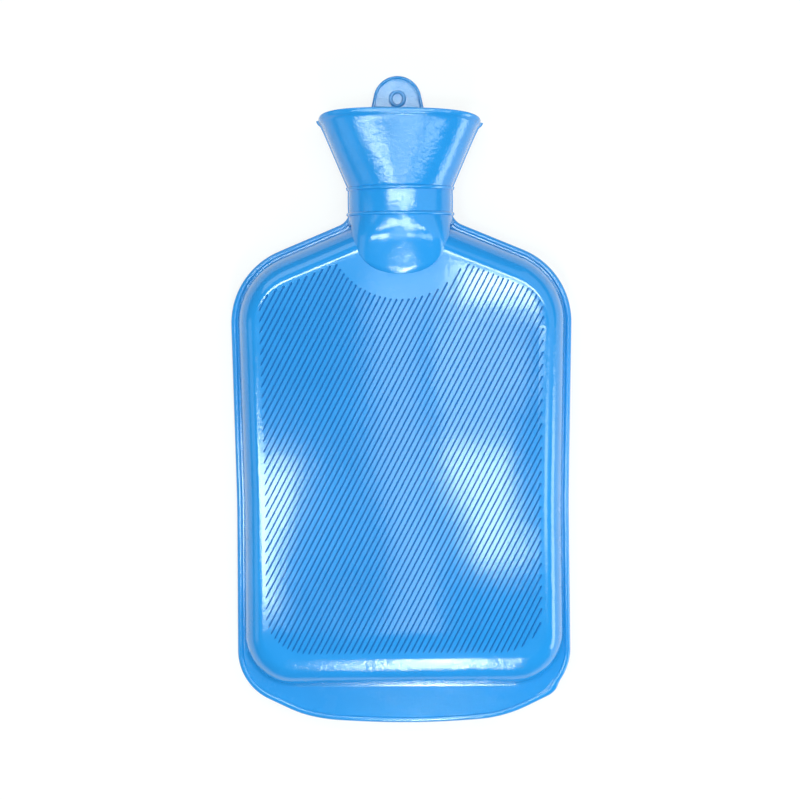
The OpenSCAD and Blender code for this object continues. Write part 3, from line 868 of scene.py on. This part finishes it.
def white_floor():
    """A pale floor that looks white to the camera and keeps the object's soft shadow."""
    n = Nodes("white_table")
    n.shader.inputs["Base Color"].default_value = (0.86, 0.86, 0.87, 1)
    n.shader.inputs["Roughness"].default_value = 0.7
    glow = n.add("ShaderNodeEmission")
    glow.inputs["Color"].default_value = (1, 1, 1, 1)
    glow.inputs["Strength"].default_value = 1.0
    path = n.add("ShaderNodeLightPath").outputs
    seen = n.calc("MAXIMUM", path["Is Camera Ray"], path["Is Glossy Ray"])
    seen = n.calc("MAXIMUM", seen, path["Is Transmission Ray"])
    mix = n.add("ShaderNodeMixShader")
    n.link(n.calc("MULTIPLY", seen, FLOOR_WHITE), mix.inputs["Fac"])
    n.link(n.shader.outputs["BSDF"], mix.inputs[1])
    n.link(glow.outputs["Emission"], mix.inputs[2])
    n.link(mix.outputs["Shader"], n.tree.nodes["Material Output"].inputs["Surface"])
    mesh = bpy.data.meshes.new("floor")
    reach = 4.0
    corners = [(-reach, -reach, 0), (reach, -reach, 0), (reach, reach, 0), (-reach, reach, 0)]
    mesh.from_pydata(corners, [], [(0, 1, 2, 3)])
    mesh.materials.append(n.material)
    floor = bpy.data.objects.new("floor", mesh)
    bpy.context.scene.collection.objects.link(floor)


def world_light(strength):
    world = bpy.data.worlds.new("studio")
    world.use_nodes = True
    world.node_tree.nodes["Background"].inputs["Color"].default_value = (1, 1, 1, 1)
    world.node_tree.nodes["Background"].inputs["Strength"].default_value = strength
    bpy.context.scene.world = world


def softbox(name, place, target, size, power, turn=0.0):
    """A flat lamp at a place, facing a target and turned about its own axis."""
    lamp = bpy.data.lights.new(name, "AREA")
    lamp.shape = "RECTANGLE"
    lamp.size, lamp.size_y = size
    lamp.energy = power
    lamp.color = LAMP_TINT
    obj = bpy.data.objects.new(name, lamp)
    obj.location = place
    facing = (Vector(target) - Vector(place)).to_track_quat("-Z", "Y").to_matrix()
    obj.rotation_euler = (facing @ Matrix.Rotation(math.radians(turn), 3, "Z")).to_euler()
    bpy.context.scene.collection.objects.link(obj)


def overhead(name, place, size, glow, turn=0.0):
    """A softbox beside the camera that shines straight down, as bright as glow says."""
    x, y = place
    power = math.pi * size[0] * size[1] * glow
    softbox(name, (x, y, CAMERA_H), (x, y, 0), size, power, turn)


def studio():
    """Lamps round the camera, a window and a side lamp on the right, and two fills on the left."""
    world_light(0.17)
    overhead("left_low", (-0.186, -0.155), (0.12, 0.17), 17, -6)
    overhead("left_core", (-0.155, -0.17), (0.03, 0.12), 16, -6)
    overhead("right_low", (0.099, -0.129), (0.065, 0.14), 15, 13)
    overhead("right_core", (0.09, -0.10), (0.05, 0.10), 12, 13)
    overhead("right_top", (0.121, 0.128), (0.103, 0.06), 25)
    overhead("right_mid", (0.089, 0.013), (0.058, 0.14), 5)
    overhead("middle", (-0.003, -0.083), (0.072, 0.454), 3.2)
    overhead("crown", (0.12, 0.095), (0.12, 0.03), 3)
    overhead("beyond", (0.03, 0.254), (0.82, 0.065), 23)
    overhead("left_funnel", (-0.38, -0.105), (0.42, 0.09), 20)
    overhead("right_wide", (0.50, -0.10), (0.50, 0.20), 5)
    overhead("low", (0.04, -1.05), (0.05, 1.1), 60)
    softbox("window", (0.85, 0.5, 0.85), (0, 0, 0), (1.3, 1.0), 3.4)
    softbox("left_fill", (-1.3, -0.2, 0.7), (0, 0, 0), (0.9, 0.7), 1.6)
    softbox("right_side", (1.3, -0.45, 0.25), (0, -0.1, 0.02), (0.9, 0.5), 7.5)
    softbox("shoulder_fill", (-0.5, 0.9, 0.8), (0, 0, 0), (0.8, 0.5), 2.2)


def camera():
    """Straight above, about a metre from the table."""
    cam = bpy.data.cameras.new("overhead")
    cam.lens = 74.0
    cam.sensor_width = 36.0
    obj = bpy.data.objects.new("overhead", cam)
    obj.location = (-0.0012, -0.0022, CAMERA_H)
    obj.rotation_euler = (0, 0, math.radians(-0.5))
    bpy.context.scene.collection.objects.link(obj)
    bpy.context.scene.camera = obj


# How strong the leathery grain is on each part
FACE_GRAIN, PAD_BORDER_GRAIN, BORDER_GRAIN, LOW_EDGE_GRAIN = 0.08, 0.04, 0.35, 0.2
FLANGE_GRAIN, NECK_GRAIN, FUNNEL_GRAIN, TAB_GRAIN = 0.35, 0.4, 0.8, 1.0


def rib_field(verts):
    """1 on the flat ribbed faces, 0 on the borders and the neck, with a soft edge of 3 to 8 mm."""
    half_w, low_y, top_y, face_gap, pad_gap = 84, 17, 224, 3.0, 3
    x, y, z = verts.T
    inside = np.minimum((half_w - np.abs(x)) / 3, np.minimum((y - low_y) / 3, (top_y - y) / 8))
    level = face_gap - np.minimum(np.abs(z - FACE_Z), np.abs(z - BAG_T + FACE_Z))
    beyond_pad = (np.hypot(x, y - PAD_Y) - PAD_R - pad_gap) / 8
    return np.clip(np.minimum(np.minimum(inside, beyond_pad), level), 0, 1)


def body_grain(verts):
    """Nearly none on the ribbed faces and round the pad, more on the borders and the lower edge."""
    low_edge_y, low_edge_l, pad_border_y = 18, 4, 210
    y = verts[:, 1]
    low_edge = np.clip((low_edge_y - y) / low_edge_l, 0, 1)
    border = np.where(y > pad_border_y, PAD_BORDER_GRAIN, BORDER_GRAIN + LOW_EDGE_GRAIN * low_edge)
    return border * (1 - rib_field(verts)) + FACE_GRAIN


def neck_grain(verts):
    """Smoother on the flange and the neck, leathery on the funnel and the tab."""
    y = verts[:, 1]
    return np.select([y < SEAM_MEETS_NECK_Y - PAD_L, y < UPPER_RING_Y, y < MOUTH_Y],
                     [FLANGE_GRAIN, NECK_GRAIN, FUNNEL_GRAIN], TAB_GRAIN)


def bottle_skin():
    """The whole moulding, the material of each face and the marks that the materials read."""
    bag, ribs = joined([bag_skin(), bag_cavity()]), all_ribs()
    neck = joined([flange_skin(), neck_skin(), pad_skin(), tab_skin(), eye_skin()])
    verts, faces = joined([bag, ribs, neck])
    # How much painted shade each rib point gets in its colour, darkest at the feet
    crease = np.tile(RIB_PAINTED_SHADE, len(ribs[0]) // len(RIB_PAINTED_SHADE))
    body = np.vstack([bag[0], ribs[0]])
    marks = {
        "crease": np.concatenate([np.zeros(len(bag[0])), crease, np.zeros(len(neck[0]))]),
        "grain": np.concatenate([body_grain(body), neck_grain(neck[0])]),
    }
    material_of_face = [0] * len(bag[1]) + [1] * len(ribs[1]) + [2] * len(neck[1])
    return verts, faces, material_of_face, marks


def build():
    rubber = [rubber_material("glossy_rubber", 0.10), rib_material(), rubber_material("satin_rubber", 0.13)]
    brass, washer, plastic = brass_material(), washer_material(), stopper_material()
    pieces = [
        ("moulded_bottle", bottle_skin(), rubber, "bottle", "bottle", "bag_rubber"),
        ("brass_socket", socket_skin(), [brass], "neck_insert", "bottle", "socket_brass"),
        ("rubber_washer", washer_skin(), [washer], "sealing_washer", "washer", "washer_rubber"),
        ("screw_stopper", joined(stopper_parts()), [plastic], "stopper", "stopper", "stopper_plastic"),
    ]
    for name, skin, materials, node, body, slot in pieces:
        obj = make_piece(name, skin, materials)
        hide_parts(node)
        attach(obj, body)


build()
white_floor()
studio()
camera()
bpy.context.scene.view_settings.view_transform = "Standard"
